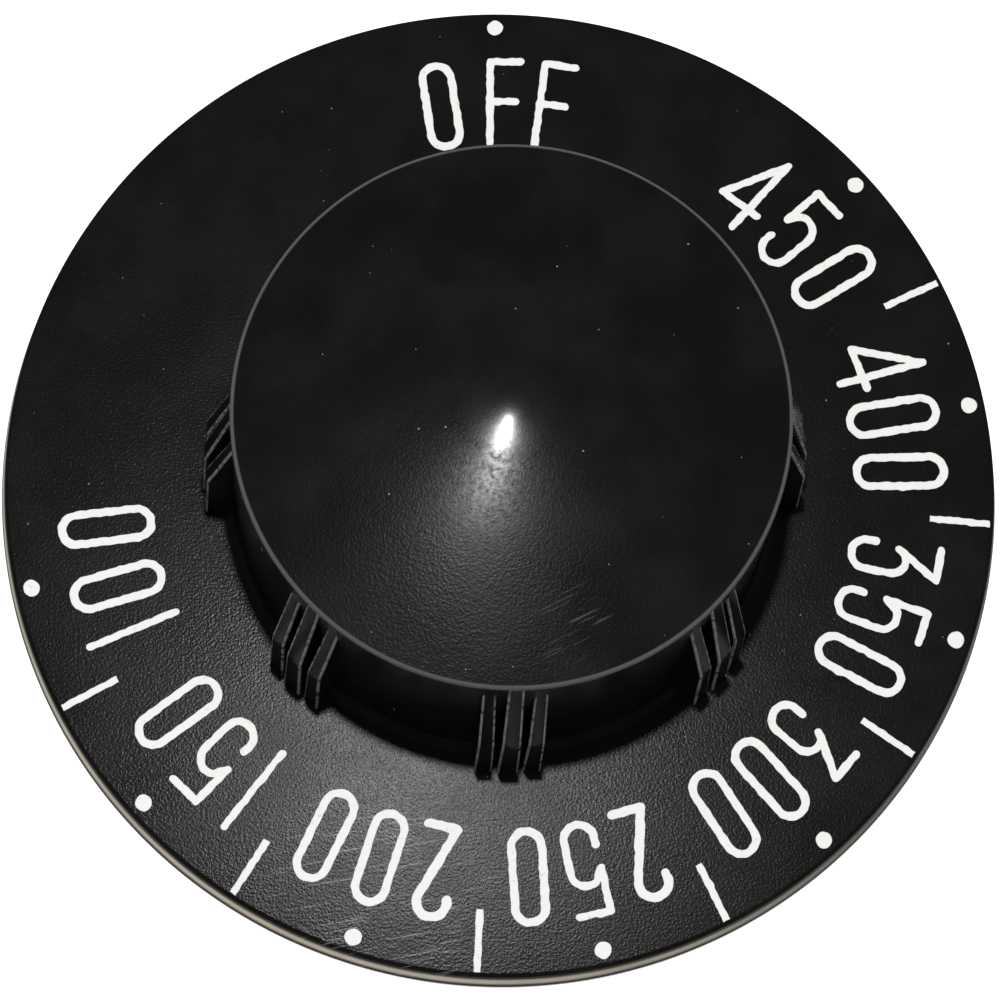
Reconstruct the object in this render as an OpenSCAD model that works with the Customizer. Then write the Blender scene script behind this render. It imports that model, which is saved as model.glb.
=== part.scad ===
// Thermostat dial knob: a wide marked skirt with a tall ribbed grip drum, pushed onto a D-shaped stem.
// The knob lies face up. The origin is at the centre of the skirt's back edge, on the stem's axis.
// +Z points out of the dial's face, and the OFF mark is towards +Y.

/* [Skirt] */
// Radius of the skirt at its back edge
skirt_r = 38.1; // [36:0.1:44]
// Height of the dial face above the back edge
skirt_h = 2.8; // [2.4:0.1:4]
// Draft of the skirt's rim
skirt_draft = 12; // [4:1:14]
// Rounding between the dial face and the rim
skirt_edge_round = 0.35; // [0.15:0.05:0.6]
// Thickness of the skirt plate behind the dial face
skirt_plate = 1.8; // [1.2:0.1:2.2]
// Width of the lip that the skirt stands on
rim_lip_w = 2.2; // [1.6:0.1:4]

/* [Grip drum] */
// Radius of the drum at its top edge
drum_r = 19.6; // [18:0.1:22]
// Height of the drum's top edge above the dial face
drum_h = 20; // [16:0.5:24]
// Draft of the drum's side
drum_draft = 2; // [0.5:0.5:3]
// Rounding of the drum's top edge
drum_edge_round = 0.35; // [0.15:0.05:0.8]
// Fillet where the drum's side meets the dial face
drum_foot_fillet = 1; // [0.4:0.1:1.4]
// Slope of the shallow cone on top of the drum
crown_slope = 5.8; // [2:0.2:9]
// Radius that rounds the tip of the cone
crown_tip_r = 12; // [4:1:30]

/* [Grip ribs] */
// Number of rib groups around the drum
pad_count = 8; // [4:1:10]
// Distance between neighbouring ribs in a group
rib_pitch = 1.8; // [1.7:0.05:2.2]
// Width of the middle rib at the drum's top edge
mid_rib_w = 1.1; // [0.8:0.05:1.2]
// Width of an outer rib at the drum's top edge
side_rib_w = 0.9; // [0.7:0.05:1]
// Draft on each side of a rib
rib_side_draft = 0.7; // [0:0.1:0.8]
// How far a rib's shoulder stands out past the drum's top edge
rib_reach = 2.4; // [1.6:0.1:3]
// Distance from the drum's top edge down to a rib's shoulder
rib_shoulder_drop = 11; // [8:0.5:13]
// Draft of a rib's front below its shoulder
rib_front_draft = 4; // [1:0.5:6]
// Radius that rounds a rib's shoulder, seen from its side
shoulder_round = 5; // [1:0.5:12]
// How much lower the outer ribs begin than the middle one
side_rib_drop = 2; // [0.5:0.1:3]
// How much less the outer ribs stand out
side_rib_setback = 0.2; // [0:0.05:0.5]

/* [Dial marks] */
// Depth of the moulded recesses that hold the paint
mark_depth = 0.3; // [0.2:0.05:0.5]
// Thickness of the paint in the recesses
paint_t = 0.26; // [0.1:0.02:0.3]
// Gap between the paint and the sides of its recess
paint_gap = 0.01; // [0.01:0.01:0.03]
// Diameter of the dot that marks each setting
dot_d = 1.25; // [0.8:0.05:1.5]
// Distance from the edge of the dial face in to the dots' centres
dot_inset = 0.95; // [0.8:0.05:2.5]
// Distance from the edge of the dial face in to the ticks' outer ends
tick_inset = 0.2; // [0.1:0.05:2]
// Length of a tick
tick_len = 4.6; // [3:0.1:5]
// Width of a tick
tick_w = 0.52; // [0.3:0.02:0.9]
// Number of numbered settings
setting_count = 8; // [2:1:9]
// Angle from the OFF mark to the hottest setting
hottest_angle = 50.2; // [40:0.1:60]
// Angle between the two hottest settings
hot_step_angle = 31.2; // [28:0.1:33]
// Angle between the other settings
step_angle = 29.25; // [26:0.05:30]

/* [Hollow back] */
// Thickness of the drum's side wall at its foot
drum_wall = 3.4; // [2.6:0.1:4]
// Thickness of the drum's top at its edge
top_wall = 3; // [2:0.1:4]
// Draft of the hollow and of the hub
core_draft = 1; // [0.5:0.5:2]
// Wall of the hub around the stem
hub_wall = 3.8; // [3:0.1:4.2]
// Distance from the back edge up to the hub's end
hub_recess = 0.9; // [0.8:0.1:2]
// Number of webs between the hub and the drum's side
web_count = 4; // [3:1:4]
// Thickness of a web
web_t = 1.8; // [1.2:0.1:2.4]
// Distance from the back edge up to the webs' lower edges
web_recess = 5; // [3:0.5:9]

/* [Stem socket] */
// Radius of the stem
stem_r = 3.175; // [3:0.005:3.2]
// Distance from the stem's axis to its flat
stem_flat = 2.38; // [2.3:0.01:2.5]
// Clearance around the stem in the D-shaped socket
socket_gap = 0.075; // [0.05:0.005:0.1]
// Clearance around the stem in the round lead-in
lead_in_gap = 0.275; // [0.24:0.005:0.3]
// Length of the round lead-in
lead_in_len = 4; // [3:0.5:5]
// Depth of the whole socket from the hub's end
socket_depth = 15; // [13.5:0.5:15.5]

/* [Stem spring] */
// Width of the leaf spring
spring_w = 2.4; // [1.8:0.1:2.5]
// Thickness of the spring's steel strip
spring_t = 0.4; // [0.3:0.05:0.45]
// How far the relaxed spring stands into the stem's flat
spring_bite = 0.18; // [0.1:0.02:0.3]
// Clearance between the spring and its slot
spring_gap = 0.05; // [0.03:0.01:0.1]
// Distance from the stem's axis to the back of the spring's slot
slot_back = 3.95; // [3.9:0.05:4.2]
// Reach of the tab that hooks over the hub's end
tab_len = 1.6; // [1:0.1:2]

/* [Hidden] */
$fn = 96;
// Steps in a rounded corner, in the cone's tip and in the spring's bow
corner_steps = 5;
tip_steps = 8;
bow_steps = 20;
// Past a surface, so that a cut goes clean through it
over = 0.5;
// How deep a rib's root sits inside the drum's wall
rib_root = 1.2;
// How far the spring's slot ends below the socket's end
slot_short = 0.5;
off_angle = 90;
top_z = skirt_h + drum_h;

// Rim of the skirt: centre of the arc that rounds its upper edge
rim_arc_z = skirt_h - skirt_edge_round;
rim_arc_r = skirt_r - (skirt_edge_round + rim_arc_z * sin(skirt_draft)) / cos(skirt_draft);
// Radius at which the flat dial face ends
face_r = rim_arc_r;
// Small chamfer under the rim
rim_chamfer = 0.2;

// Top edge of the drum
edge_arc_r = drum_r - drum_edge_round;
edge_arc_z = top_z - drum_edge_round;
// Drum radius, without its fillet, at a height z
function drum_wall_r(z) = edge_arc_r + drum_edge_round * cos(drum_draft)
    + (edge_arc_z + drum_edge_round * sin(drum_draft) - z) * tan(drum_draft);
foot_r = drum_wall_r(skirt_h);
foot_arc_r = foot_r + drum_foot_fillet * (1 - sin(drum_draft)) / cos(drum_draft);
foot_arc_z = skirt_h + drum_foot_fillet;

// Cone on top: where it starts at the edge, and where the rounded tip begins
cone_r = edge_arc_r + drum_edge_round * sin(crown_slope);
cone_z = edge_arc_z + drum_edge_round * cos(crown_slope);
tip_r = crown_tip_r * sin(crown_slope);
tip_arc_z = cone_z + (cone_r - tip_r) * tan(crown_slope) - crown_tip_r * cos(crown_slope);

// Hollow back
ceiling_z = top_z - top_wall;
cavity_r = foot_r - drum_wall;
cavity_top_r = cavity_r - ceiling_z * tan(core_draft);
lead_in_r = stem_r + lead_in_gap;
hub_r = lead_in_r + hub_wall;
hub_top_r = hub_r + (ceiling_z - hub_recess) * tan(core_draft);
recess_z = skirt_h - skirt_plate;
recess_out_r = skirt_r - rim_chamfer - rim_lip_w;
recess_in_r = foot_r + drum_foot_fillet;

// Stem socket and the slot behind its flat
socket_r = stem_r + socket_gap;
socket_flat = stem_flat + socket_gap;
lead_in_top = hub_recess + lead_in_len;
socket_top = hub_recess + socket_depth;
slot_w = spring_w + 2 * spring_gap;
slot_top = socket_top - slot_short;

// Leaf spring, in the plane through the stem's axis: u is the distance from the axis, v the height
tab_v = hub_recess - spring_gap - spring_t;
leg_u = slot_back - spring_gap - spring_t;
bow_u = stem_flat - spring_bite;
bow_start = lead_in_top + spring_gap;
bow_end = slot_top - spring_gap;
bow_rise = leg_u - bow_u;

// Recesses in the dial face
dot_ring_r = face_r - dot_inset;
tick_out_r = face_r - tick_inset;
tick_in_r = tick_out_r - tick_len;
mark_floor = skirt_h - mark_depth;

// Ribs
shoulder_r = drum_r + rib_reach;
shoulder_z = top_z - rib_shoulder_drop;
rib_top_z = top_z - drum_edge_round;
rib_foot_z = skirt_h - over;
function rib_foot_w(top_w) = top_w + 2 * (top_z - rib_foot_z) * tan(rib_side_draft);

// Angle of the dot of setting i, counted from the hottest, and of the tick after it
function setting_angle(i) = off_angle - hottest_angle - (i > 0 ? hot_step_angle + (i - 1) * step_angle : 0);
function tick_angle(i) = (setting_angle(i) + setting_angle(i + 1)) / 2;

// Points on an arc round [x, y], from angle a to angle b
function arc(x, y, r, a, b, steps) =
    [for (i = [0:steps]) [x + r * cos(a + (b - a) * i / steps), y + r * sin(a + (b - a) * i / steps)]];

// How far the spring's bow leaves its slot at height v: a smooth hump between its two seats
function bow(v) = bow_rise * (1 - cos(360 * (v - bow_start) / (bow_end - bow_start))) / 2;

// Outside of the moulding as one outline, from the axis out
module outside_profile() {
    polygon(concat(
        [[0, 0], [skirt_r - rim_chamfer, 0], [skirt_r - rim_chamfer * tan(skirt_draft), rim_chamfer]],
        arc(rim_arc_r, rim_arc_z, skirt_edge_round, skirt_draft, 90, corner_steps),
        arc(foot_arc_r, foot_arc_z, drum_foot_fillet, 270, 180 + drum_draft, corner_steps),
        arc(edge_arc_r, edge_arc_z, drum_edge_round, drum_draft, 90 - crown_slope, corner_steps),
        arc(0, tip_arc_z, crown_tip_r, 90 - crown_slope, 90, tip_steps)));
}

// One rib seen from its side: it leaves the drum's top edge, slopes out to a rounded shoulder
// and drops to the face. side is the rib's farthest edge from its group's middle line.
module rib_side(side, start_drop, setback) {
    start_z = rib_top_z - start_drop;
    start_r = sqrt(pow(drum_wall_r(start_z), 2) - side * side);
    out_r = shoulder_r - setback;
    nose = atan((out_r - start_r) / (start_z - shoulder_z));
    round_back = shoulder_round / (1 + cos(nose - rib_front_draft));
    polygon(concat(
        [[drum_r - rib_root, rib_foot_z],
         [out_r + (shoulder_z - rib_foot_z) * tan(rib_front_draft), rib_foot_z]],
        arc(out_r - round_back * (cos(nose) + cos(rib_front_draft)),
            shoulder_z - round_back * (sin(nose) + sin(rib_front_draft)),
            shoulder_round, rib_front_draft, nose, corner_steps),
        [[start_r, start_z], [drum_r - rib_root, start_z]]));
}

// The same rib seen from its front: wider at its foot
module rib_front(top_w) {
    foot_w = rib_foot_w(top_w);
    polygon([[-foot_w / 2, rib_foot_z], [foot_w / 2, rib_foot_z], [top_w / 2, top_z], [-top_w / 2, top_z]]);
}

// A rib that stands out along +X
module rib(top_w, place, start_drop, setback) {
    intersection() {
        rotate([90, 0, 0])
            linear_extrude(height = rib_foot_w(top_w) + over, center = true)
                rib_side(place + top_w / 2, start_drop, setback);
        rotate([90, 0, 90])
            linear_extrude(height = skirt_r)
                rib_front(top_w);
    }
}

// A group of three parallel ribs
module grip_pad() {
    rib(mid_rib_w, 0, 0, 0);
    for (side = [-1, 1]) {
        translate([0, side * rib_pitch, 0])
            rib(side_rib_w, rib_pitch, side_rib_drop, side_rib_setback);
    }
}

// Hollow inside the drum, with the hub and its webs left standing
module drum_hollow() {
    difference() {
        translate([0, 0, -over])
            cylinder(h = ceiling_z + over, r1 = cavity_r + over * tan(core_draft), r2 = cavity_top_r);
        translate([0, 0, hub_recess])
            cylinder(h = ceiling_z - hub_recess + over, r1 = hub_r, r2 = hub_top_r);
        for (i = [0:web_count - 1]) {
            rotate([0, 0, (i + 0.5) * 360 / web_count])
                translate([0, -web_t / 2, web_recess])
                    cube([cavity_r + over, web_t, ceiling_z - web_recess + over]);
        }
    }
}

// Shallow ring-shaped recess in the back of the skirt
module skirt_recess() {
    difference() {
        translate([0, 0, -over])
            cylinder(h = recess_z + over, r = recess_out_r);
        translate([0, 0, -2 * over])
            cylinder(h = recess_z + 3 * over, r = recess_in_r);
    }
}

// Round lead-in, D-shaped socket and the slot for the spring behind the flat, which faces -Y
module stem_socket() {
    translate([0, 0, hub_recess - over])
        cylinder(h = lead_in_len + over, r = lead_in_r);
    intersection() {
        translate([0, 0, lead_in_top - over])
            cylinder(h = socket_top - lead_in_top + over, r = socket_r);
        translate([-stem_r - over, -socket_flat, lead_in_top - over])
            cube([2 * (stem_r + over), socket_flat + stem_r + over, socket_top - lead_in_top + 2 * over]);
    }
    translate([-slot_w / 2, -slot_back, hub_recess - over])
        cube([slot_w, slot_back, slot_top - hub_recess + over]);
}

module dot_marks(r, bottom, height) {
    for (a = concat([off_angle], [for (i = [0:setting_count - 1]) setting_angle(i)])) {
        rotate([0, 0, a])
            translate([dot_ring_r, 0, bottom])
                cylinder(h = height, r = r);
    }
}

module tick_marks(grow, bottom, height) {
    for (i = [0:setting_count - 2]) {
        rotate([0, 0, tick_angle(i)])
            translate([tick_in_r - grow, -tick_w / 2 - grow, bottom])
                cube([tick_len + 2 * grow, tick_w + 2 * grow, height]);
    }
}

// The whole knob is one black thermoset moulding
module knob_body() {
    color([0.05, 0.05, 0.055])
        difference() {
            union() {
                rotate_extrude()
                    outside_profile();
                for (i = [0:pad_count - 1]) {
                    rotate([0, 0, off_angle + i * 360 / pad_count])
                        grip_pad();
                }
            }
            drum_hollow();
            skirt_recess();
            stem_socket();
            dot_marks(dot_d / 2, mark_floor, mark_depth + over);
            tick_marks(0, mark_floor, mark_depth + over);
        }
}

// Bent steel leaf that presses on the stem's flat, held in its slot by a tab over the hub's end
module stem_spring() {
    heights = [for (i = [0:bow_steps]) bow_start + (bow_end - bow_start) * i / bow_steps];
    color([0.62, 0.63, 0.65])
        translate([-spring_w / 2, 0, 0])
            rotate([90, 0, 90])
                linear_extrude(height = spring_w)
                    mirror([1, 0])
                        polygon(concat(
                            [[leg_u, tab_v]],
                            [for (v = heights) [leg_u - bow(v), v]],
                            [for (i = [0:bow_steps]) [
                                leg_u + spring_t - bow(heights[bow_steps - i]), heights[bow_steps - i]]],
                            [[leg_u + spring_t, tab_v + spring_t],
                             [leg_u + tab_len, tab_v + spring_t],
                             [leg_u + tab_len, tab_v]]));
}

// White paint in the round recesses
module dot_paint() {
    color([0.93, 0.93, 0.9])
        dot_marks(dot_d / 2 - paint_gap, mark_floor, paint_t);
}

// White paint in the straight recesses
module tick_paint() {
    color([0.93, 0.93, 0.9])
        tick_marks(-paint_gap, mark_floor, paint_t);
}

knob_body();
stem_spring();
dot_paint();
tick_paint();
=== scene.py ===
# %% [markdown]
# A thermostat dial knob from a commercial fryer or griddle, made in Blender round a fixed frame.
# The real knob is one black thermoset moulding. White paint fills the numbers, dots and ticks that
# were engraved in its mould, and a steel leaf in its hub grips the stem. The frame gives the sizes:
# every piece here stands exactly where the frame's piece stands, and only looks are added.

# %% Load the frame
import math

import bmesh
import bpy
from mathutils import Matrix, Vector, noise


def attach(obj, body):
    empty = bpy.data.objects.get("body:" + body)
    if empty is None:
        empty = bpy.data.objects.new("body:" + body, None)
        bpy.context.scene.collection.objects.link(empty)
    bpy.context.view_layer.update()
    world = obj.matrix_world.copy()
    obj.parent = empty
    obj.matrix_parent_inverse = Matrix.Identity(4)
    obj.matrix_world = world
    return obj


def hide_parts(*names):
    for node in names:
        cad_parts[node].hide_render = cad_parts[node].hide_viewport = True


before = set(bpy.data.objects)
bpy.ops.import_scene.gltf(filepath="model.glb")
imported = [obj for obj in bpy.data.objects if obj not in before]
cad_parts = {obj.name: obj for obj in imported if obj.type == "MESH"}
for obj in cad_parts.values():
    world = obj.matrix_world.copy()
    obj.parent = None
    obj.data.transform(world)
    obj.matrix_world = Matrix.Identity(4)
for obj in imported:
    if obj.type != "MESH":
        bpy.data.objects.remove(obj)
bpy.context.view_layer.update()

MM = 0.001
print("pieces in the frame:", sorted(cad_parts))

# %% [markdown]
# The sizes are those of the frame, in millimetres: the skirt, the drum that the cook's hand turns,
# its eight groups of three ribs, and the hollow back. Naming them once keeps the later cells short.
# The dial face is at FACE_Z, and all the marks are measured from there.

# %% Sizes of the moulding
SKIRT_R = 38.1
FACE_Z = 2.8
RIM_DRAFT = math.radians(12)
FACE_R = SKIRT_R - FACE_Z * math.tan(RIM_DRAFT)
DRUM_R = 19.6
DRUM_TOP_Z = FACE_Z + 20.0
DRUM_DRAFT = math.radians(2)
CROWN_SLOPE = math.radians(5.8)
CROWN_TIP_R = 12.0
EDGE_ROUND = 0.35
FOOT_FILLET = 1.0


def drum_wall_r(z):
    """Radius of the drum's side at a height, without its fillet."""
    return DRUM_R + (DRUM_TOP_Z - EDGE_ROUND - z) * math.tan(DRUM_DRAFT)


print("dial face radius", round(FACE_R, 2), "mm; drum foot radius", round(drum_wall_r(FACE_Z), 2), "mm")

# %% [markdown]
# An operator acts on whatever is selected, so each step first clears the selection. In edit mode
# the corners, edges or faces to work on are picked by where they lie, as a hand would pick them
# with the mouse. These three helpers do only that, and every later cell uses them.

# %% Helpers for picking
def only(piece):
    """Select one object and make it the active one."""
    bpy.ops.object.select_all(action="DESELECT")
    piece.select_set(True)
    bpy.context.view_layer.objects.active = piece


def pick(piece, kind, test):
    """In edit mode, select the verts, edges or faces for which test is true."""
    bpy.ops.mesh.select_mode(type={"verts": "VERT", "edges": "EDGE", "faces": "FACE"}[kind])
    bpy.ops.mesh.select_all(action="DESELECT")
    mesh = bmesh.from_edit_mesh(piece.data)
    found = [part for part in getattr(mesh, kind) if test(part)]
    for part in found:
        part.select_set(True)
    bmesh.update_edit_mesh(piece.data)
    return len(found)


def tidy_mesh(piece):
    """Merge doubles and turn every face outwards."""
    only(piece)
    bpy.ops.object.mode_set(mode="EDIT")
    bpy.ops.mesh.select_all(action="SELECT")
    bpy.ops.mesh.remove_doubles(threshold=0.0005 * MM)
    bpy.ops.mesh.normals_make_consistent(inside=False)
    bpy.ops.object.mode_set(mode="OBJECT")


# %% [markdown]
# Skirt and drum are turned shapes. They could be spun from a drawn outline, but here a disc is
# extruded ring by ring and each new ring is scaled to its radius, which keeps every ring level
# and closes the solid without a seam. Each ring is given as a radius and a height.

# %% Turned solids
def turned(name, rings, segments):
    """A closed round solid, drawn up from its first ring to its last."""
    bpy.ops.object.select_all(action="DESELECT")
    r0, z0 = rings[0]
    bpy.ops.mesh.primitive_circle_add(
        vertices=segments, radius=r0 * MM, fill_type="NGON", location=(0, 0, z0 * MM))
    piece = bpy.context.object
    piece.name = name
    bpy.ops.object.transform_apply(location=True)
    bpy.ops.object.mode_set(mode="EDIT")
    bpy.ops.mesh.select_all(action="SELECT")
    for r1, z1 in rings[1:]:
        bpy.ops.mesh.extrude_region_move(TRANSFORM_OT_translate={"value": (0, 0, (z1 - z0) * MM)})
        bpy.ops.transform.resize(value=(r1 / r0, r1 / r0, 1), center_override=(0, 0, z1 * MM))
        r0, z0 = r1, z1
    bpy.ops.mesh.select_all(action="SELECT")
    bpy.ops.mesh.normals_make_consistent(inside=False)
    bpy.ops.object.mode_set(mode="OBJECT")
    return piece


def arc(cx, cy, r, start, end, steps):
    """Points on an arc, angles in degrees."""
    turn = [math.radians(start + (end - start) * i / steps) for i in range(steps + 1)]
    return [(cx + r * math.cos(a), cy + r * math.sin(a)) for a in turn]


# %% [markdown]
# The outside of the moulding: rim, dial face, drum and the low cone on top. The cone's tip is a
# small dome, so its last rings follow an arc and close on a tiny disc. The rounds at the rim, at
# the drum's foot and at its top edge are left to the bevel operator, which rounds whole edge loops.

# %% Skirt, drum and cone
SEGMENTS = 288
TIP_STEPS = 8
edge_arc_r = DRUM_R - EDGE_ROUND
edge_arc_z = DRUM_TOP_Z - EDGE_ROUND
cone_r = edge_arc_r + EDGE_ROUND * math.sin(CROWN_SLOPE)
cone_z = edge_arc_z + EDGE_ROUND * math.cos(CROWN_SLOPE)
tip_ring_r = CROWN_TIP_R * math.sin(CROWN_SLOPE)
tip_centre_z = cone_z + (cone_r - tip_ring_r) * math.tan(CROWN_SLOPE) - CROWN_TIP_R * math.cos(CROWN_SLOPE)
corner_r = drum_wall_r(DRUM_TOP_Z)
corner_z = cone_z + (cone_r - corner_r) * math.tan(CROWN_SLOPE)
TINY_R = 0.02
tip_rings = arc(0, tip_centre_z, CROWN_TIP_R, 90 - math.degrees(CROWN_SLOPE), 90, TIP_STEPS)
outer_rings = [(SKIRT_R, 0), (FACE_R, FACE_Z), (drum_wall_r(FACE_Z), FACE_Z), (corner_r, corner_z)]
outer_rings += [(max(r, TINY_R), z) for r, z in tip_rings]
moulding = turned("dial_knob_moulding", outer_rings, SEGMENTS)


def black_slots(piece):
    """Give a piece a slot for the black, one for its rubbed edges with their painted highlight and one for its
    handled top.
    """
    for name in ("plain_black", "rubbed_highlight_edge", "handled_top"):
        piece.data.materials.append(bpy.data.materials.get(name) or bpy.data.materials.new(name))


black_slots(moulding)


def round_ring(piece, r, z, offset, segments, slot=0):
    """Round one sharp ring of edges of a turned solid."""
    def on_ring(edge):
        return all(abs(v.co.z / MM - z) < 0.01 and abs(v.co.xy.length / MM - r) < 0.01 for v in edge.verts)
    only(piece)
    bpy.ops.object.mode_set(mode="EDIT")
    count = pick(piece, "edges", on_ring)
    bpy.ops.mesh.bevel(offset=offset * MM, segments=segments, profile=0.5, affect="EDGES", material=slot)
    bpy.ops.object.mode_set(mode="OBJECT")
    return count


RIM_CHAMFER = 0.2
round_ring(moulding, SKIRT_R, 0, RIM_CHAMFER, 2)
round_ring(moulding, FACE_R, FACE_Z, EDGE_ROUND * 0.8, 5)
round_ring(moulding, drum_wall_r(FACE_Z), FACE_Z, FOOT_FILLET, 6)
round_ring(moulding, corner_r, corner_z, EDGE_ROUND * 0.9, 6)
print("skirt and drum:", len(moulding.data.polygons), "faces")

# %% [markdown]
# A grip rib is a tapered bar. It leaves the drum's top edge, slopes out to a shoulder and drops
# nearly straight to the dial face. It starts as a cube, is cut once at the shoulder, and its
# corners are then moved to their places. Its front edges get a narrow bevel in a second material
# slot, painted light grey: partly the rubbed dull grey of the real knob's edges, partly a painted
# highlight for the light that those rounded edges catch.

# %% One grip rib
RIB_ROOT_X = DRUM_R - 1.2
RIB_FOOT_Z = FACE_Z - 0.5
RIB_TOP_Z = DRUM_TOP_Z - EDGE_ROUND
SHOULDER_X = DRUM_R + 2.4
SHOULDER_Z = DRUM_TOP_Z - 11.0
RIB_FRONT_DRAFT = math.radians(4)
RIB_SIDE_DRAFT = math.radians(0.7)
SHOULDER_BEVEL = 0.45
RIB_EDGE_BEVEL = 0.16
RUBBED_HIGHLIGHT_SLOT = 1
HANDLED_SLOT = 2


def rib_width(top_width, z):
    """Width of a rib at a height: its sides lean out towards the foot."""
    return top_width + 2 * (DRUM_TOP_Z - z) * math.tan(RIB_SIDE_DRAFT)


def move_corners(piece, near_x, near_z, to_x, width):
    """Bring the two front or back corners of a rib's ring to their place."""
    def here(v):
        return abs(v.co.x / MM - near_x) < 0.01 and abs(v.co.z / MM - near_z) < 0.01
    pick(piece, "verts", here)
    bpy.ops.transform.translate(value=((to_x - near_x) * MM, 0, 0))
    mesh = bmesh.from_edit_mesh(piece.data)
    half = max(abs(v.co.y) for v in mesh.verts if v.select) / MM
    bpy.ops.transform.resize(value=(1, width / 2 / half, 1), center_override=(to_x * MM, 0, near_z * MM))


def grip_rib(name, top_width, place, start_drop, setback):
    """A rib that stands out along +X, place millimetres from its group's middle line."""
    start_z = RIB_TOP_Z - start_drop
    side = abs(place) + top_width / 2
    start_x = math.sqrt(drum_wall_r(start_z) ** 2 - side ** 2)
    out_x = SHOULDER_X - setback
    bpy.ops.object.select_all(action="DESELECT")
    bpy.ops.mesh.primitive_cube_add(size=1, location=(
        (RIB_ROOT_X + out_x) / 2 * MM, 0, (RIB_FOOT_Z + start_z) / 2 * MM), scale=(
        (out_x - RIB_ROOT_X) * MM, top_width * MM, (start_z - RIB_FOOT_Z) * MM))
    rib = bpy.context.object
    rib.name = name
    black_slots(rib)
    bpy.ops.object.transform_apply(location=True, scale=True)
    bpy.ops.object.mode_set(mode="EDIT")
    bpy.ops.mesh.select_all(action="SELECT")
    bpy.ops.mesh.bisect(plane_co=(0, 0, SHOULDER_Z * MM), plane_no=(0, 0, 1))
    foot_x = out_x + (SHOULDER_Z - RIB_FOOT_Z) * math.tan(RIB_FRONT_DRAFT)
    for z, front_x in ((start_z, start_x), (SHOULDER_Z, out_x), (RIB_FOOT_Z, foot_x)):
        move_corners(rib, RIB_ROOT_X, z, RIB_ROOT_X, rib_width(top_width, z))
        move_corners(rib, out_x, z, front_x, rib_width(top_width, z))
    pick(rib, "edges", lambda e: all(
        abs(v.co.x / MM - out_x) < 0.01 and abs(v.co.z / MM - SHOULDER_Z) < 0.01 for v in e.verts))
    bpy.ops.mesh.bevel(offset=SHOULDER_BEVEL * MM, segments=5, profile=0.5, affect="EDGES")

    def front_edge(edge):
        normals = [f.normal for f in edge.link_faces]
        return any(abs(n.y) > 0.9 for n in normals) and any(n.x > 0.5 for n in normals)
    bpy.ops.mesh.select_all(action="SELECT")
    bpy.ops.mesh.normals_make_consistent(inside=False)
    pick(rib, "edges", front_edge)
    bpy.ops.mesh.bevel(offset=RIB_EDGE_BEVEL * MM, segments=3, profile=0.5, affect="EDGES", material=RUBBED_HIGHLIGHT_SLOT)
    bpy.ops.object.mode_set(mode="OBJECT")
    rib.data.transform(Matrix.Translation((0, place * MM, 0)))
    return rib


# %% [markdown]
# Each group is a middle rib with a thinner, shorter one on each side, and eight groups stand
# round the drum, one below the OFF mark. The three ribs are modelled once and copied, each copy
# with its own mesh, then joined to the drum by one boolean union.

# %% Eight groups of ribs
RIB_PITCH = 1.8
PAD_COUNT = 8
group = [
    grip_rib("middle_rib", 1.1, 0, 0, 0),
    grip_rib("left_rib", 0.9, RIB_PITCH, 2, 0.2),
    grip_rib("right_rib", 0.9, -RIB_PITCH, 2, 0.2),
]


def join(pieces, name):
    """Join several objects into one."""
    bpy.ops.object.select_all(action="DESELECT")
    for piece in pieces:
        piece.select_set(True)
    bpy.context.view_layer.objects.active = pieces[0]
    bpy.ops.object.join()
    pieces[0].name = name
    return pieces[0]


def copy_turned(piece, angle):
    """A copy with its own mesh, turned about the stem's axis."""
    twin = piece.copy()
    twin.data = piece.data.copy()
    twin.data.transform(Matrix.Rotation(angle, 4, "Z"))
    bpy.context.collection.objects.link(twin)
    return twin


ribs = []
for number in range(PAD_COUNT):
    ribs += [copy_turned(rib, math.radians(90 + 360 / PAD_COUNT * number)) for rib in group]
for rib in group:
    bpy.data.objects.remove(rib)
ribs = join(ribs, "ribs")
print("ribs:", len(ribs.data.polygons), "faces")


# %% Boolean helper
def combine(target, tool, operation, overlapping=False, keep_tool=False):
    """Apply a boolean to target and drop the tool."""
    only(target)
    bpy.ops.object.modifier_add(type="BOOLEAN")
    cut = target.modifiers[-1]
    cut.operation = operation
    cut.solver = "EXACT"
    cut.object = tool
    cut.use_self = overlapping
    cut.material_mode = "INDEX"
    bpy.ops.object.modifier_apply(modifier=cut.name)
    if not keep_tool:
        bpy.data.objects.remove(tool)
    print(operation.lower(), "gives", len(target.data.polygons), "faces")


combine(moulding, ribs, "UNION")

# %% [markdown]
# From behind, the knob is a hollow shell like any thick moulding: a ring-shaped hollow round the
# hub, four webs that tie the hub to the drum, and a shallow recess behind the skirt, so that only
# a narrow lip touches the panel. The hollow is made as a solid of its own and then cut away.

# %% Hollow back
CEILING_Z = DRUM_TOP_Z - 3.0
CAVITY_R = drum_wall_r(FACE_Z) - 3.4
CORE_DRAFT = math.tan(math.radians(1))
HUB_R = 3.45 + 3.8
HUB_END_Z = 0.9
WEB_COUNT = 4
WEB_T = 1.8
WEB_END_Z = 5.0
BELOW = -0.5
hollow = turned("hollow", [
    (CAVITY_R - BELOW * CORE_DRAFT, BELOW), (CAVITY_R - CEILING_Z * CORE_DRAFT, CEILING_Z)], SEGMENTS // 2)
round_ring(hollow, CAVITY_R - CEILING_Z * CORE_DRAFT, CEILING_Z, 0.8, 4)
hub = turned("hub", [
    (HUB_R, HUB_END_Z), (HUB_R + (CEILING_Z + 1 - HUB_END_Z) * CORE_DRAFT, CEILING_Z + 1)], SEGMENTS // 3)
round_ring(hub, HUB_R, HUB_END_Z, 0.3, 3)
combine(hollow, hub, "DIFFERENCE")
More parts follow.
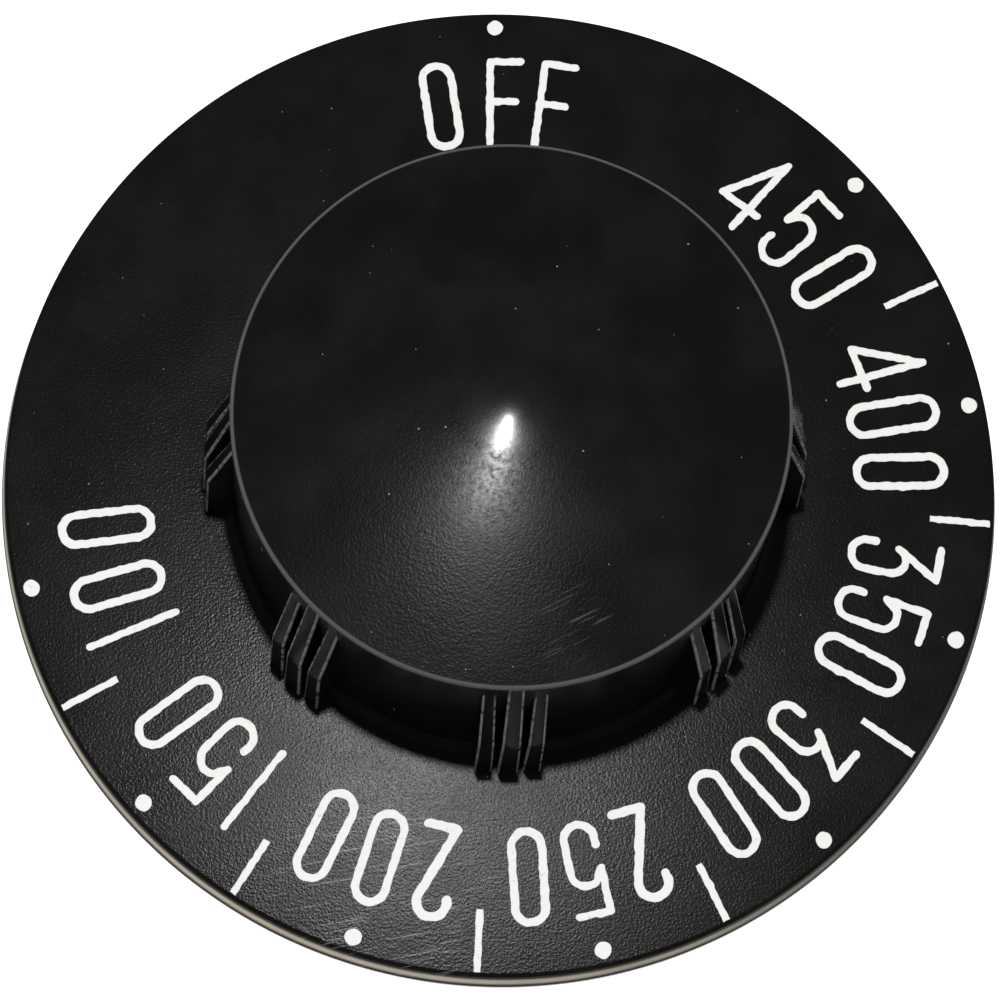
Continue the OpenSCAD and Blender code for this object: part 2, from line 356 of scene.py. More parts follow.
for number in range(WEB_COUNT):
    bpy.ops.object.select_all(action="DESELECT")
    bpy.ops.mesh.primitive_cube_add(size=1, location=(
        CAVITY_R / 2 * MM, 0, (WEB_END_Z + CEILING_Z + 1) / 2 * MM), scale=(
        (CAVITY_R + 2) * MM, WEB_T * MM, (CEILING_Z + 1 - WEB_END_Z) * MM))
    web = bpy.context.object
    bpy.ops.object.transform_apply(location=True, scale=True)
    web.data.transform(Matrix.Rotation(math.radians(45 + 90 * number), 4, "Z"))
    bpy.ops.object.mode_set(mode="EDIT")
    pick(web, "edges", lambda e: all(v.co.z / MM < WEB_END_Z + 0.01 for v in e.verts))
    bpy.ops.mesh.bevel(offset=0.25 * MM, segments=2, profile=0.5, affect="EDGES")
    bpy.ops.object.mode_set(mode="OBJECT")
    combine(hollow, web, "DIFFERENCE")
combine(moulding, hollow, "DIFFERENCE")

RECESS_Z = 1.0
recess = turned("recess", [(SKIRT_R - RIM_CHAMFER - 2.2, BELOW), (SKIRT_R - RIM_CHAMFER - 2.2, RECESS_Z)], SEGMENTS)
recess_core = turned("recess_core", [
    (drum_wall_r(FACE_Z) + FOOT_FILLET, 2 * BELOW), (drum_wall_r(FACE_Z) + FOOT_FILLET, RECESS_Z + 1)], SEGMENTS)
combine(recess, recess_core, "DIFFERENCE")
combine(moulding, recess, "DIFFERENCE")

# %% [markdown]
# The hub takes a quarter-inch stem with one flat side. Its mouth is round, the bore behind it is
# D-shaped, and a slot behind the flat holds the steel leaf. Three plain tools cut it: a cylinder,
# a cylinder with one side sliced off by bisect, and a bar.

# %% Stem socket
STEM_R = 3.175
SOCKET_R = STEM_R + 0.075
SOCKET_FLAT = 2.38 + 0.075
LEAD_IN_TOP = HUB_END_Z + 4.0
SOCKET_TOP = HUB_END_Z + 15.0
SLOT_W = 2.5
SLOT_BACK = 3.95
lead_in = turned("lead_in", [(3.45, BELOW), (3.45, LEAD_IN_TOP)], 72)
combine(moulding, lead_in, "DIFFERENCE")
socket = turned("socket", [(SOCKET_R, LEAD_IN_TOP - 1), (SOCKET_R, SOCKET_TOP)], 72)
only(socket)
bpy.ops.object.mode_set(mode="EDIT")
bpy.ops.mesh.select_all(action="SELECT")
bpy.ops.mesh.bisect(plane_co=(0, -SOCKET_FLAT * MM, 0), plane_no=(0, -1, 0), use_fill=True, clear_outer=True)
bpy.ops.object.mode_set(mode="OBJECT")
combine(moulding, socket, "DIFFERENCE")
bpy.ops.object.select_all(action="DESELECT")
bpy.ops.mesh.primitive_cube_add(size=1, location=(
    0, -SLOT_BACK / 2 * MM, (BELOW + SOCKET_TOP - 0.5) / 2 * MM), scale=(
    SLOT_W * MM, SLOT_BACK * MM, (SOCKET_TOP - 0.5 - BELOW) * MM))
slot_bar = bpy.context.object
bpy.ops.object.transform_apply(location=True, scale=True)
combine(moulding, slot_bar, "DIFFERENCE")

# %% [markdown]
# The marks. Paint wiped into a moulded groove has a slightly ragged edge, so every outline here
# gets a little noise, and each outline serves twice: it cuts the groove and it shapes the paint.
# A stroke is a ribbon of constant width round a centre line, with round ends. Its sides are found
# by stepping off from the centre line to the left and to the right.

# %% Outlines of strokes, dots and ticks
GROOVE_DEPTH = 0.3
PAINT_DROP = 0.04
STEP = 0.13
RAGGED = 0.075


def wobble(x, y):
    """A small, repeatable unevenness at a place on the dial."""
    fine = noise.noise(Vector((x * 2.1, y * 2.1, 3.7)))
    blob = max(0.0, noise.noise(Vector((x * 0.9, y * 0.9, 11.3))) - 0.42)
    return RAGGED * fine + 0.25 * blob


def resample(points, step):
    """Points at even distances along a polyline."""
    out = [Vector(points[0])]
    for a, b in zip(points, points[1:]):
        a, b = Vector(a), Vector(b)
        count = max(1, round((b - a).length / step))
        out += [a.lerp(b, i / count) for i in range(1, count + 1)]
    return out


def ribbon(points, width, closed=False):
    """The outlines of a stroke: one round an open line, two round a closed one."""
    line = resample(points, STEP)
    if closed:
        line = line[:-1]
    sides = ([], [])
    for i, p in enumerate(line):
        before = line[i - 1] if closed or i else p
        after = line[(i + 1) % len(line)] if closed or i + 1 < len(line) else p
        along = (after - before).normalized()
        across = Vector((-along.y, along.x))
        for side, sign in zip(sides, (1, -1)):
            side.append(p + across * sign * width / 2)
    if closed:
        return [sides[0], sides[1]]
    caps = []
    for end, out in ((line[-1], line[-1] - line[-2]), (line[0], line[0] - line[1])):
        turn = math.degrees(math.atan2(out.y, out.x))
        caps.append([Vector(p) for p in arc(end.x, end.y, width / 2, turn + 90, turn - 90, 8)][1:-1])
    return [sides[0] + caps[0] + sides[1][::-1] + caps[1]]


# %% [markdown]
# The numerals follow a plain engraver's alphabet: every figure is one even stroke, nought is a
# tall ring with straight sides, three has a flat top, and four is open at its foot. Each is drawn
# upright round its own centre, with its top towards +Y, and then turned to its place on the dial.

# %% The figures
HALF_H = 3.35
BOWL_R = 1.12
RING_STROKE = 0.62
STROKE = 0.60
THIN_STROKE = 0.55
WIDE_STROKE = 0.70


def tall_ring():
    side = HALF_H - BOWL_R
    points = arc(0, side, BOWL_R, 0, 180, 16) + arc(0, -side, BOWL_R, 180, 360, 16)
    return [(points + points[:1], RING_STROKE, True)]


def bowl(top, left_end):
    """The round belly of a five or a three, down to the hook at its lower left."""
    return (arc(0.1, top - BOWL_R, BOWL_R, 125, 0, 12) +
            arc(0.1, BOWL_R - HALF_H, BOWL_R, 0, -180, 16) + [(0.1 - BOWL_R, left_end)])


FIGURES = {
    "0": tall_ring(),
    "1": [([(0, -HALF_H - 0.1), (0, HALF_H + 0.05)], THIN_STROKE, False)],
    "2": [(arc(0, HALF_H - BOWL_R, BOWL_R, 195, -28, 18) + [(-1.05, -HALF_H + 0.05)], WIDE_STROKE, False),
          ([(-1.05, -HALF_H + 0.05), (1.15, -HALF_H - 0.1)], WIDE_STROKE, False)],
    "3": [([(-1.3, HALF_H), (1.1, HALF_H)], STROKE, False),
          ([(1.1, HALF_H), (-0.75, 0.2)], STROKE, False),
          ([(-0.75, 0.2)] + bowl(0.85, -1.6), STROKE, False)],
    "4": [([(0.95, HALF_H), (-1.65, -1.6)], STROKE, False),
          ([(-1.65, -1.6), (1.6, -1.45)], STROKE, False),
          ([(0.95, HALF_H), (0.7, -HALF_H)], STROKE, False)],
    "5": [([(-1.1, HALF_H), (1.25, HALF_H)], STROKE, False),
          ([(-1.1, HALF_H), (-1.1, 0.1)], STROKE, False),
          ([(-1.1, 0.1)] + bowl(1.25, -1.7), STROKE, False)],
    "F": [([(-1.05, -HALF_H), (-1.05, HALF_H)], STROKE, False),
          ([(-1.05, HALF_H), (1.35, HALF_H)], STROKE, False),
          ([(-1.05, 0.05), (0.9, 0.05)], STROKE, False)],
}
FIGURES["O"] = FIGURES["0"]

# %% [markdown]
# On the dial the figures read clockwise with their tops outwards. Each number is centred on its
# dot, a one takes less room than the others, and OFF is at the top. The ring of numbers is a
# touch off centre on the real knob, so its radius changes a little round the dial.

# %% Places of the marks
OFF_ANGLE = 90.0
HOTTEST_ANGLE = OFF_ANGLE - 50.2
HOT_STEP = 31.2
STEP_ANGLE = 29.25
DOT_RING_R = FACE_R - 1.2
NUMBER_RING_R = 30.2
RING_SHIFT = 0.16
RING_SHIFT_ANGLE = -15.0
settings = [450, 400, 350, 300, 250, 200, 150, 100]
setting_angles = [HOTTEST_ANGLE] + [HOTTEST_ANGLE - HOT_STEP - STEP_ANGLE * i for i in range(7)]
EVEN_SPACING = (8.3, 0.1, -8.1)
SPACING = {"OFF": (8.2, -1.1, -8.5), "450": (9.3, 0.4, -8.4), "150": (9.1, 2.4, -6.3), "100": (9.3, 2.6, -6.3)}


def place_on_dial(points, r, angle):
    """Turn upright points to their place: up becomes outwards, right becomes clockwise."""
    a = math.radians(angle)
    up = Vector((math.cos(a), math.sin(a)))
    right = Vector((math.sin(a), -math.cos(a)))
    return [up * (r + p[1]) + right * p[0] for p in points]


def prism(outlines, bottom, top, name):
    """A solid with one outer outline and perhaps one hole, between two heights."""
    curve = bpy.data.curves.new(name, "CURVE")
    curve.dimensions = "2D"
    curve.fill_mode = "BOTH"
    curve.extrude = (top - bottom) / 2 * MM
    for outline in outlines:
        spline = curve.splines.new("POLY")
        spline.points.add(len(outline) - 1)
        for point, spot in zip(spline.points, outline):
            point.co = (spot.x * MM, spot.y * MM, 0, 1)
        spline.use_cyclic_u = True
    piece = bpy.data.objects.new(name, curve)
    bpy.context.collection.objects.link(piece)
    only(piece)
    bpy.ops.object.convert(target="MESH")
    piece = bpy.context.object
    piece.data.transform(Matrix.Translation((0, 0, (top + bottom) / 2 * MM)))
    tidy_mesh(piece)
    return piece


def ragged(outline):
    """Push each point of an outline in or out by the unevenness at its place."""
    out = []
    count = len(outline)
    for i, p in enumerate(outline):
        along = outline[(i + 1) % count] - outline[i - 1]
        across = Vector((along.y, -along.x)).normalized()
        out.append(p + across * wobble(p.x, p.y))
    return out


words = [("OFF", OFF_ANGLE)] + [(str(s), a) for s, a in zip(settings, setting_angles)]
strokes = []
for word, word_angle in words:
    for figure, shift in zip(word, SPACING.get(word, EVEN_SPACING)):
        angle = word_angle + shift
        r = NUMBER_RING_R + RING_SHIFT * math.cos(math.radians(angle - RING_SHIFT_ANGLE))
        for line, width, closed in FIGURES[figure]:
            outlines = [ragged(place_on_dial(o, r, angle)) for o in ribbon(line, width, closed)]
            strokes.append(prism(outlines, FACE_Z - GROOVE_DEPTH, FACE_Z + 0.4, "stroke"))
stroke_count = len(strokes)
strokes = join(strokes, "strokes")
print(stroke_count, "strokes with", len(strokes.data.polygons), "faces")

# %% Dots and ticks
DOT_R = 0.625
TICK_IN_R = FACE_R - 0.3 - 4.6
TICK_OUT_R = FACE_R - 0.3
TICK_W = 0.52


def dot_outline(angle):
    ring = arc(0, 0, DOT_R, 0, 360, 40)[:-1]
    return ragged(place_on_dial(ring, DOT_RING_R, angle))


def tick_outline(angle):
    half = (TICK_OUT_R - TICK_IN_R) / 2
    corners = [(-TICK_W / 2, -half), (TICK_W / 2, -half), (TICK_W / 2, half), (-TICK_W / 2, half)]
    line = resample(corners + corners[:1], STEP)[:-1]
    return ragged(place_on_dial(line, (TICK_IN_R + TICK_OUT_R) / 2, angle))


dot_outlines = [dot_outline(a) for a in [OFF_ANGLE] + setting_angles]
tick_outlines = [tick_outline((a + b) / 2) for a, b in zip(setting_angles, setting_angles[1:])]


def fill(outlines, bottom, top, name):
    return join([prism([o], bottom, top, name) for o in outlines], name)


mark_tools = fill(dot_outlines + tick_outlines, FACE_Z - GROOVE_DEPTH, FACE_Z + 0.4, "mark_tools")
dots = fill(dot_outlines, FACE_Z - GROOVE_DEPTH, FACE_Z - PAINT_DROP, "setting_dots")
ticks = fill(tick_outlines, FACE_Z - GROOVE_DEPTH, FACE_Z - PAINT_DROP, "half_way_ticks")
combine(moulding, mark_tools, "DIFFERENCE")

# %% [markdown]
# Strokes that meet, as in a four, overlap, so the boolean is told to expect that. The paint of the
# numbers is a thin ring of paint cut to the strokes: what is left is the paint that stays in the
# grooves, a hair below the dial face.

# %% Engraved numbers and their paint
PAINT_RING_IN = 24.5
paint_ring = turned("dial_numbers", [(FACE_R, FACE_Z - GROOVE_DEPTH), (FACE_R, FACE_Z - PAINT_DROP)], 96)
paint_core = turned("paint_core", [(PAINT_RING_IN, FACE_Z - 1), (PAINT_RING_IN, FACE_Z + 1)], 96)
combine(paint_ring, paint_core, "DIFFERENCE")
numbers = paint_ring
combine(numbers, strokes, "INTERSECT", overlapping=True, keep_tool=True)
combine(moulding, strokes, "DIFFERENCE", overlapping=True)
tidy_mesh(moulding)
tidy_mesh(numbers)


# %% [markdown]
# Shading. Faces that meet at a small angle are shaded as one smooth surface and all others keep
# a crisp edge. The weighted normals then favour the large faces, so that the flat dial stays flat
# right up to its rounded rim.

# %% Smooth shading
def shade(piece, degrees):
    only(piece)
    bpy.ops.object.shade_smooth_by_angle(angle=math.radians(degrees))
    bpy.ops.object.modifier_add(type="WEIGHTED_NORMAL")
    piece.modifiers[-1].keep_sharp = True
    bpy.ops.object.modifier_apply(modifier=piece.modifiers[-1].name)


shade(moulding, 32)
for piece in (numbers, dots, ticks):
    shade(piece, 30)
print("moulding:", len(moulding.data.polygons), "faces")


# %% [markdown]
# Materials are built from a few shared effects. Each effect is a node group that takes the place
# on the piece in millimetres and puts out a mask or a height. Object coordinates are in metres,
# so a first mapping brings them to millimetres, and all the sizes in the groups are then real.

# %% Node group helpers
def new_group(name, inputs, outputs):
    """A shader node group with named float or vector sockets."""
    tree = bpy.data.node_groups.new(name, "ShaderNodeTree")
    for label, kind, value in inputs:
        socket = tree.interface.new_socket(name=label, in_out="INPUT", socket_type=kind)
        if value is not None:
            socket.default_value = value
    for label, kind in outputs:
        tree.interface.new_socket(name=label, in_out="OUTPUT", socket_type=kind)
    tree.nodes.new("NodeGroupInput").name = "in"
    tree.nodes.new("NodeGroupOutput").name = "out"
    return tree


def add(tree, kind, **settings):
    """Add a node. Settings that name an input set its value, others set the node's own property."""
    node = tree.nodes.new(kind)
    for key, value in settings.items():
        if key in node.inputs:
            node.inputs[key].default_value = value
        else:
            setattr(node, key, value)
    return node


def maths(tree, operation, a, b=None):
    """A Math node: a and b are sockets or plain numbers."""
    node = tree.nodes.new("ShaderNodeMath")
    node.operation = operation
    for socket, value in zip(node.inputs, (a, b)):
        if value is None:
            continue
        if isinstance(value, (int, float)):
            socket.default_value = value
        else:
            tree.links.new(value, socket)
    return node.outputs[0]


def ramp(tree, value, low, high):
    """0 below low, 1 above high, and smooth between."""
    node = add(tree, "ShaderNodeMapRange", interpolation_type="SMOOTHSTEP")
    node.inputs["From Min"].default_value = low
    node.inputs["From Max"].default_value = high
    tree.links.new(value, node.inputs["Value"])
    return node.outputs[0]


FLOAT, VECTOR = "NodeSocketFloat", "NodeSocketVector"


# %% Effect: the fine orange peel of a gloss moulding
def make_orange_peel():
    tree = new_group("orange_peel", [("Place mm", VECTOR, None), ("Grain mm", FLOAT, 0.3)], [("Height", FLOAT)])
    source, sink = tree.nodes["in"], tree.nodes["out"]
    scale = maths(tree, "DIVIDE", 1.0, source.outputs["Grain mm"])
    coarse = add(tree, "ShaderNodeTexNoise", Detail=2.5, Roughness=0.55)
    tree.links.new(source.outputs["Place mm"], coarse.inputs["Vector"])
    tree.links.new(scale, coarse.inputs["Scale"])
    tree.links.new(coarse.outputs["Fac"], sink.inputs["Height"])
    return tree


orange_peel = make_orange_peel()


# %% Effect: specks of dust and lint
def make_specks():
    tree = new_group("specks", [
        ("Place mm", VECTOR, None), ("Spacing mm", FLOAT, 3.0), ("Share", FLOAT, 0.1)], [("Mask", FLOAT)])
    source, sink = tree.nodes["in"], tree.nodes["out"]
    flattened = tree.nodes.new("ShaderNodeMapping")
    flattened.inputs["Scale"].default_value = (1.0, 1.0, 0.12)
    tree.links.new(source.outputs["Place mm"], flattened.inputs["Vector"])
    cells = add(tree, "ShaderNodeTexVoronoi", feature="F1")
    tree.links.new(flattened.outputs[0], cells.inputs["Vector"])
    tree.links.new(maths(tree, "DIVIDE", 1.0, source.outputs["Spacing mm"]), cells.inputs["Scale"])
    apart = tree.nodes.new("ShaderNodeSeparateColor")
    tree.links.new(cells.outputs["Color"], apart.inputs["Color"])
    chosen = maths(tree, "LESS_THAN", apart.outputs[0], source.outputs["Share"])
    size = maths(tree, "MULTIPLY", apart.outputs[1], 0.05)
    core = maths(tree, "LESS_THAN", cells.outputs["Distance"], size)
    tree.links.new(maths(tree, "MULTIPLY", core, chosen), sink.inputs["Mask"])
    return tree


specks = make_specks()


# %% Effect: fine parallel scratches inside a patch
def make_scratches():
    tree = new_group("scratches", [
        ("Place mm", VECTOR, None), ("Patch centre mm", VECTOR, None), ("Patch radius mm", FLOAT, 9.0),
        ("Turn", VECTOR, None)], [("Mask", FLOAT)])
    source, sink = tree.nodes["in"], tree.nodes["out"]
    moved = add(tree, "ShaderNodeVectorMath", operation="SUBTRACT")
    tree.links.new(source.outputs["Place mm"], moved.inputs[0])
    tree.links.new(source.outputs["Patch centre mm"], moved.inputs[1])
    turned_to = tree.nodes.new("ShaderNodeMapping")
    tree.links.new(moved.outputs[0], turned_to.inputs["Vector"])
    tree.links.new(source.outputs["Turn"], turned_to.inputs["Rotation"])
    stretched = tree.nodes.new("ShaderNodeMapping")
    stretched.inputs["Scale"].default_value = (0.16, 4.2, 0.3)
    tree.links.new(turned_to.outputs[0], stretched.inputs["Vector"])
    lines = add(tree, "ShaderNodeTexNoise", Scale=1.0, Detail=3.0, Roughness=0.6)
    tree.links.new(stretched.outputs[0], lines.inputs["Vector"])
    length = add(tree, "ShaderNodeVectorMath", operation="LENGTH")
    tree.links.new(moved.outputs[0], length.inputs[0])
    far = maths(tree, "DIVIDE", length.outputs["Value"], source.outputs["Patch radius mm"])
    inside = maths(tree, "SUBTRACT", 1.0, ramp(tree, far, 0.55, 1.0))
    thin = ramp(tree, lines.outputs["Fac"], 0.59, 0.65)
    tree.links.new(maths(tree, "MULTIPLY", thin, inside), sink.inputs["Mask"])
    return tree


scratches = make_scratches()
print("effects:", [g.name for g in bpy.data.node_groups])


# %% [markdown]
# Every material starts the same way: Object coordinates, brought to millimetres, feed the effect
# groups. Colours and shine that vary are mixed from the masks. The Principled shader itself stays
# in the material.

# %% Material helpers
def new_material(name):
    """A material with a Principled shader and the place on the piece in millimetres."""
    material = bpy.data.materials.new(name)
    material.use_nodes = True
    tree = material.node_tree
    coords = tree.nodes.new("ShaderNodeTexCoord")
    place = tree.nodes.new("ShaderNodeMapping")
    place.inputs["Scale"].default_value = (1 / MM, 1 / MM, 1 / MM)
    tree.links.new(coords.outputs["Object"], place.inputs["Vector"])
    return material, tree, tree.nodes["Principled BSDF"], place.outputs["Vector"]


def effect(tree, group, place, **values):
    """Place an effect group in a material and give it this material's values."""
    node = tree.nodes.new("ShaderNodeGroup")
    node.node_tree = group
    tree.links.new(place, node.inputs["Place mm"])
    for key, value in values.items():
        node.inputs[key.replace("_", " ")].default_value = value
    return node.outputs[0]


def mix_colour(tree, mask, first, second):
    """Blend two colours by a mask. Each is a socket or a colour."""
    node = tree.nodes.new("ShaderNodeMix")
    node.data_type = "RGBA"
    tree.links.new(mask, node.inputs["Factor"])
    for label, value in (("A", first), ("B", second)):
        socket = [s for s in node.inputs if s.name == label and s.type == "RGBA"][0]
        if isinstance(value, tuple):
            socket.default_value = (*value, 1)
        else:
            tree.links.new(value, socket)
    return [s for s in node.outputs if s.type == "RGBA"][0]


def noise_field(tree, place, size_mm, detail=2.0, roughness=0.5):
    """Noise with features of about size_mm."""
    node = add(tree, "ShaderNodeTexNoise", Scale=1 / size_mm, Detail=detail, Roughness=roughness)
    tree.links.new(place, node.inputs["Vector"])
    return node.outputs["Fac"]


# %% Black thermoset moulding
BLACK = (0.0050, 0.0050, 0.0047)
DULL_BLACK = (0.0080, 0.0080, 0.0079)
DUST = (0.22, 0.22, 0.21)
SCRATCH_GREY = (0.24, 0.24, 0.23)
# Light grey of the rib edges: partly their rubbed wear, partly a painted highlight along them.
RUBBED_GREY_AND_HIGHLIGHT = (0.25, 0.25, 0.24)
RING_GREY = (0.095, 0.095, 0.09)
# Tan of the rim band: partly a worn tan edge, partly a painted reflection of the white surroundings.
RIM_TAN_REFLECTION = (0.88, 0.79, 0.62)
RIM_BAND_Z = 1.45
SCRATCH_PATCHES = [
    ((-9.5, -31.5, FACE_Z), 10.0, -9, 0.6),
    ((3.5, -15.0, DRUM_TOP_Z), 3.5, -25, 0.2),
]
MOULD_SHINE = 0.064
TOP_SHINE = 0.025
MOULD_ROUGHNESS = (0.19, 0.26)
PEEL_HEIGHT = 0.02
PALM_POLISH = 0.06
TIP_POLISH = 0.22
POLISH_ROUGHNESS = 0.17


def between(tree, value, low, high):
    """Map a noise value to a range."""
    node = add(tree, "ShaderNodeMapRange")
    node.inputs["From Min"].default_value = 0.3
    node.inputs["From Max"].default_value = 0.7
    node.inputs["To Min"].default_value = low
    node.inputs["To Max"].default_value = high
    tree.links.new(value, node.inputs["Value"])
    return node.outputs[0]


def inverse(tree, value):
    return maths(tree, "SUBTRACT", 1.0, value)


def black_moulding(name, shine, rubbed_and_lit=False):
    material, tree, shader, place = new_material(name)
    apart = tree.nodes.new("ShaderNodeSeparateXYZ")
    tree.links.new(place, apart.inputs[0])
    x, y, z = apart.outputs[0], apart.outputs[1], apart.outputs[2]
    radius = maths(tree, "SQRT", maths(tree, "ADD", maths(tree, "MULTIPLY", x, x), maths(tree, "MULTIPLY", y, y)))
    on_top = ramp(tree, z, DRUM_TOP_Z - 0.8, DRUM_TOP_Z - 0.2)

    mottle = ramp(tree, noise_field(tree, place, 5.0, 3.0), 0.35, 0.7)
    colour = mix_colour(tree, mottle, BLACK, DULL_BLACK)
    dust = effect(tree, specks, place, Spacing_mm=1.5, Share=0.9)
    colour = mix_colour(tree, dust, colour, DUST)
    for centre, size, turn, depth in SCRATCH_PATCHES:
        marks = effect(tree, scratches, place, Patch_centre_mm=centre, Patch_radius_mm=size,
                       Turn=(0, 0, math.radians(turn)))
        colour = mix_colour(tree, maths(tree, "MULTIPLY", marks, depth), colour, SCRATCH_GREY)
    # Rib edges: worn grey that also serves as a painted highlight, so that the edges show light even in shade.
    if rubbed_and_lit:
        wear_and_highlight = ramp(tree, noise_field(tree, place, 0.8, 3.0), 0.25, 0.6)
        colour = mix_colour(tree, wear_and_highlight, DULL_BLACK, RUBBED_GREY_AND_HIGHLIGHT)
    else:
        off_ring = maths(tree, "ABSOLUTE", maths(tree, "SUBTRACT", radius, DRUM_R - 0.1))
        ring = maths(tree, "MULTIPLY", inverse(tree, ramp(tree, off_ring, 0.08, 0.24)), on_top)
        colour = mix_colour(tree, ring, colour, RING_GREY)
        # Rim band: a painted reflection of the bright surroundings on the rim's side, partly a worn tan edge. It is
        # laid on in patches and is brighter towards the left side, where the light falls on it.
        off_band = maths(tree, "ABSOLUTE", maths(tree, "SUBTRACT", z, RIM_BAND_Z))
        band = maths(tree, "MULTIPLY", inverse(tree, ramp(tree, off_band, 0.2, 0.85)),
                     ramp(tree, radius, SKIRT_R - 1.2, SKIRT_R - 1.0))
        patches = between(tree, noise_field(tree, place, 6.0, 2.0), 0.75, 1.0)
        left_side = inverse(tree, ramp(tree, x, -5.0, SKIRT_R + 4.0))
        wear_and_reflection_there = maths(tree, "MULTIPLY", patches, left_side)
        colour = mix_colour(tree, maths(tree, "MULTIPLY", band, wear_and_reflection_there), colour, RIM_TAN_REFLECTION)
    tree.links.new(colour, shader.inputs["Base Color"])

    smudge = noise_field(tree, place, 7.0, 4.0, 0.6)
    tree.links.new(between(tree, smudge, *MOULD_ROUGHNESS), shader.inputs["Roughness"])
    shader.inputs["Specular IOR Level"].default_value = shine

    grime = between(tree, noise_field(tree, place, 0.35, 3.0, 0.6), 0.1, 1.9)
    polished = maths(tree, "MULTIPLY", on_top, inverse(tree, ramp(tree, radius, 2.0, 14.0)))
    polish = maths(tree, "MULTIPLY", maths(tree, "MULTIPLY", polished, grime), PALM_POLISH)
    tip = maths(tree, "MULTIPLY", on_top, inverse(tree, ramp(tree, radius, 1.5, 4.0)))
    polish = maths(tree, "ADD", polish, maths(tree, "MULTIPLY", tip, TIP_POLISH))
    tree.links.new(polish, shader.inputs["Coat Weight"])
    shader.inputs["Coat Roughness"].default_value = POLISH_ROUGHNESS

    peel = effect(tree, orange_peel, place, Grain_mm=0.2)
    smoother = maths(tree, "SUBTRACT", 1.0, maths(tree, "MULTIPLY", on_top, 0.35))
    bump = add(tree, "ShaderNodeBump", Strength=1.0)
    bump.inputs["Distance"].default_value = PEEL_HEIGHT * MM
    tree.links.new(maths(tree, "MULTIPLY", peel, smoother), bump.inputs["Height"])
    tree.links.new(bump.outputs[0], shader.inputs["Normal"])
    return material


moulding_black = black_moulding("black_moulding", MOULD_SHINE)
rubbed_highlight_black = black_moulding("rubbed_highlight_black_edge", MOULD_SHINE, rubbed_and_lit=True)
handled_black = black_moulding("handled_black_top", TOP_SHINE)
moulding.data.materials[0] = moulding_black
moulding.data.materials[RUBBED_HIGHLIGHT_SLOT] = rubbed_highlight_black
moulding.data.materials[HANDLED_SLOT] = handled_black
for face in moulding.data.polygons:
    if face.center.z > (DRUM_TOP_Z - EDGE_ROUND) * MM and face.material_index == 0:
        face.material_index = HANDLED_SLOT
rubbed_highlight_count = sum(face.material_index == RUBBED_HIGHLIGHT_SLOT for face in moulding.data.polygons)
print("rubbed faces:", rubbed_highlight_count)


# %% White paint
PAINT_WHITE = (0.86, 0.86, 0.84)
PAINT_STAIN = (0.55, 0.47, 0.33)


def white_paint():
    material, tree, shader, place = new_material("white_paint")
    stain = ramp(tree, noise_field(tree, place, 0.55, 4.0, 0.6), 0.6, 0.72)
    colour = mix_colour(tree, maths(tree, "MULTIPLY", stain, 0.5), PAINT_WHITE, PAINT_STAIN)
    tree.links.new(colour, shader.inputs["Base Color"])
    rough = add(tree, "ShaderNodeMapRange")
    rough.inputs["To Min"].default_value = 0.45
    rough.inputs["To Max"].default_value = 0.7
    tree.links.new(noise_field(tree, place, 0.4), rough.inputs["Value"])
    tree.links.new(rough.outputs[0], shader.inputs["Roughness"])
    bump = add(tree, "ShaderNodeBump", Strength=0.6)
    bump.inputs["Distance"].default_value = 0.03 * MM
    tree.links.new(effect(tree, orange_peel, place, Grain_mm=0.35), bump.inputs["Height"])
    tree.links.new(bump.outputs[0], shader.inputs["Normal"])
    return material


paint = white_paint()
for piece in (numbers, dots, ticks):
    piece.data.materials.clear()
    piece.data.materials.append(paint)


# %% Rolled spring steel
def spring_steel():
    material, tree, shader, place = new_material("spring_steel")
    drawn = tree.nodes.new("ShaderNodeMapping")
    drawn.inputs["Scale"].default_value = (6.0, 6.0, 0.25)
    tree.links.new(place, drawn.inputs["Vector"])
    lines = noise_field(tree, drawn.outputs[0], 0.5, 3.0, 0.6)
    colour = mix_colour(tree, lines, (0.42, 0.42, 0.43), (0.62, 0.62, 0.63))
    tree.links.new(colour, shader.inputs["Base Color"])
    shader.inputs["Metallic"].default_value = 1.0
    rough = add(tree, "ShaderNodeMapRange")
    rough.inputs["To Min"].default_value = 0.22
    rough.inputs["To Max"].default_value = 0.42
    tree.links.new(lines, rough.inputs["Value"])
    tree.links.new(rough.outputs[0], shader.inputs["Roughness"])
    bump = add(tree, "ShaderNodeBump", Strength=0.3)
    bump.inputs["Distance"].default_value = 0.01 * MM
    tree.links.new(lines, bump.inputs["Height"])
    tree.links.new(bump.outputs[0], shader.inputs["Normal"])
    return material


steel = spring_steel()
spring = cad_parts["stem_spring"]
spring.data.materials.clear()
spring.data.materials.append(steel)

# %% Pieces on their body
for piece, slot, node in (
        (moulding, "black_moulding", "knob_body"), (dots, "white_paint", "dot_paint"),
        (ticks, "white_paint", "tick_paint"), (numbers, "white_paint", None)):
    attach(piece, "root")
    if node:
        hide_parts(node)

# %% [markdown]
# The camera stands where the photographer's did: almost straight above the dial, a little towards
# the lower edge. The focal length and place come from the ellipses of the skirt and of the drum's
# top edge. The sizes are metres here, because Blender's camera works in them.

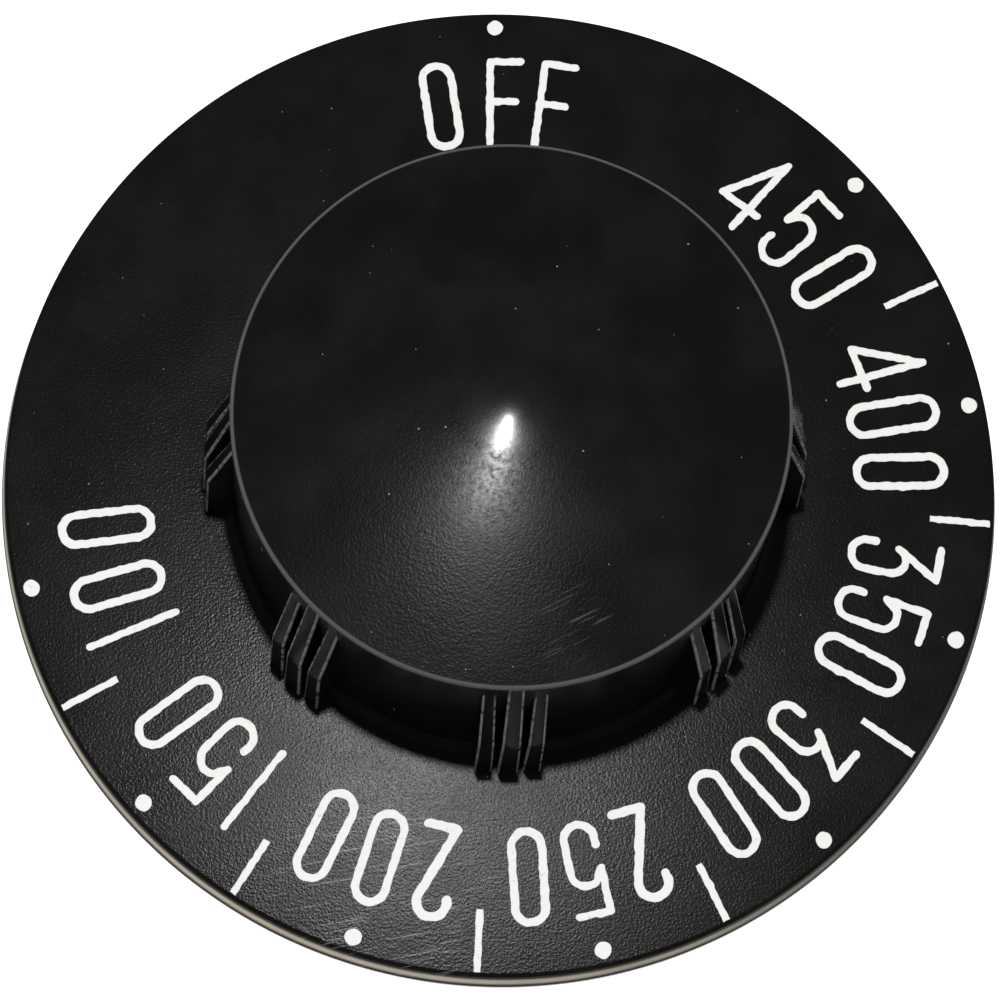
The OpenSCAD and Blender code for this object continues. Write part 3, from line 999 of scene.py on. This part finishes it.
# %% Camera
bpy.ops.object.camera_add()
camera = bpy.context.object
CAMERA_AT = Vector((-8.76, -53.52, 226.31)) * MM
AIM = Vector((-0.20, -1.74, 2.8)) * MM
UP = Vector((0.0157, 0.9999, 0))
forward = (AIM - CAMERA_AT).normalized()
side_way = forward.cross(UP).normalized()
upward = side_way.cross(forward)
axes = Matrix((side_way, upward, -forward)).transposed()
camera.matrix_world = Matrix.Translation(CAMERA_AT) @ axes.to_4x4()
camera.data.lens = 109.19
camera.data.sensor_width = 36.0
camera.data.clip_start = 0.01
bpy.context.scene.camera = camera

# %% Floor
FLOOR_SIZE = 4.0
bpy.ops.mesh.primitive_plane_add(size=FLOOR_SIZE, location=(0, 0, -0.01 * MM))
floor = bpy.context.object
floor.name = "floor"
floor_material = bpy.data.materials.new("white_board")
floor_material.use_nodes = True
floor_tree = floor_material.node_tree
board = floor_tree.nodes["Principled BSDF"]
board.inputs["Roughness"].default_value = 0.9
FLOOR_WHITE = (0.92, 0.92, 0.915)
FLOOR_IN_REFLECTIONS = (0.32, 0.32, 0.31)
FLOOR_LIFT = 0.55
path = floor_tree.nodes.new("ShaderNodeLightPath")
seen_as = mix_colour(floor_tree, path.outputs["Is Glossy Ray"], FLOOR_WHITE, FLOOR_IN_REFLECTIONS)
floor_tree.links.new(seen_as, board.inputs["Base Color"])
lift = maths(floor_tree, "MULTIPLY", path.outputs["Is Camera Ray"], FLOOR_LIFT)
board.inputs["Emission Color"].default_value = (1, 1, 1, 1)
floor_tree.links.new(lift, board.inputs["Emission Strength"])
floor.data.materials.append(floor_material)

# %% Lamps and surroundings
world = bpy.data.worlds.new("studio")
bpy.context.scene.world = world
world.use_nodes = True
sky = world.node_tree
background = sky.nodes["Background"]
sky_path = sky.nodes.new("ShaderNodeLightPath")
ROOM_LIGHT = 0.3
ROOM_IN_REFLECTIONS = 0.3
room = maths(sky, "MULTIPLY_ADD", sky_path.outputs["Is Glossy Ray"], ROOM_IN_REFLECTIONS - ROOM_LIGHT)
sky.nodes[-1].inputs[2].default_value = ROOM_LIGHT
strength = maths(sky, "MAXIMUM", room, sky_path.outputs["Is Camera Ray"])
background.inputs["Color"].default_value = (1, 1, 1, 1)
sky.links.new(strength, background.inputs["Strength"])

bpy.ops.object.light_add(type="POINT", location=Vector((-4.3, 9.5, 218.0)) * MM)
flash = bpy.context.object
flash.name = "key_lamp"
flash.data.energy = 1.45
flash.data.shadow_soft_size = 4 * MM
bpy.context.scene.view_settings.view_transform = "Standard"
